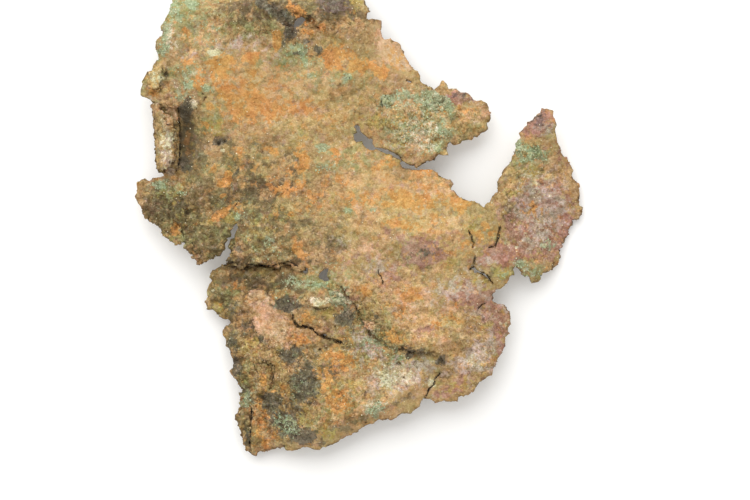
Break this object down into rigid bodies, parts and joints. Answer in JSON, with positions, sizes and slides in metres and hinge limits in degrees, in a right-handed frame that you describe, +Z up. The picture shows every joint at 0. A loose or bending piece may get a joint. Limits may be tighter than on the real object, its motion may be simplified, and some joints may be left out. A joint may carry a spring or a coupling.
{
  "type": "native copper sheet",
  "caption": "Thin, warped and ragged sheet of native copper with torn margins, overlapping leaves and a mottled patina, lying flat.",
  "frame": {"origin": "centre of the bounding box at its base, on the surface the sheet lies on", "axes": "+Z up out of the sheet's upper face, +Y along its longer side towards the arched end, +X towards the pointed leaf"},
  "size_m": [0.1192, 0.1338, 0.0164],
  "materials": {
    "tarnished_copper": "dull copper under a mottled patina of orange, ochre, olive, green, mauve and black"
  },
  "bodies": {
    "root": {"copper_sheet": "tarnished_copper"}
  },
  "joints": []
}
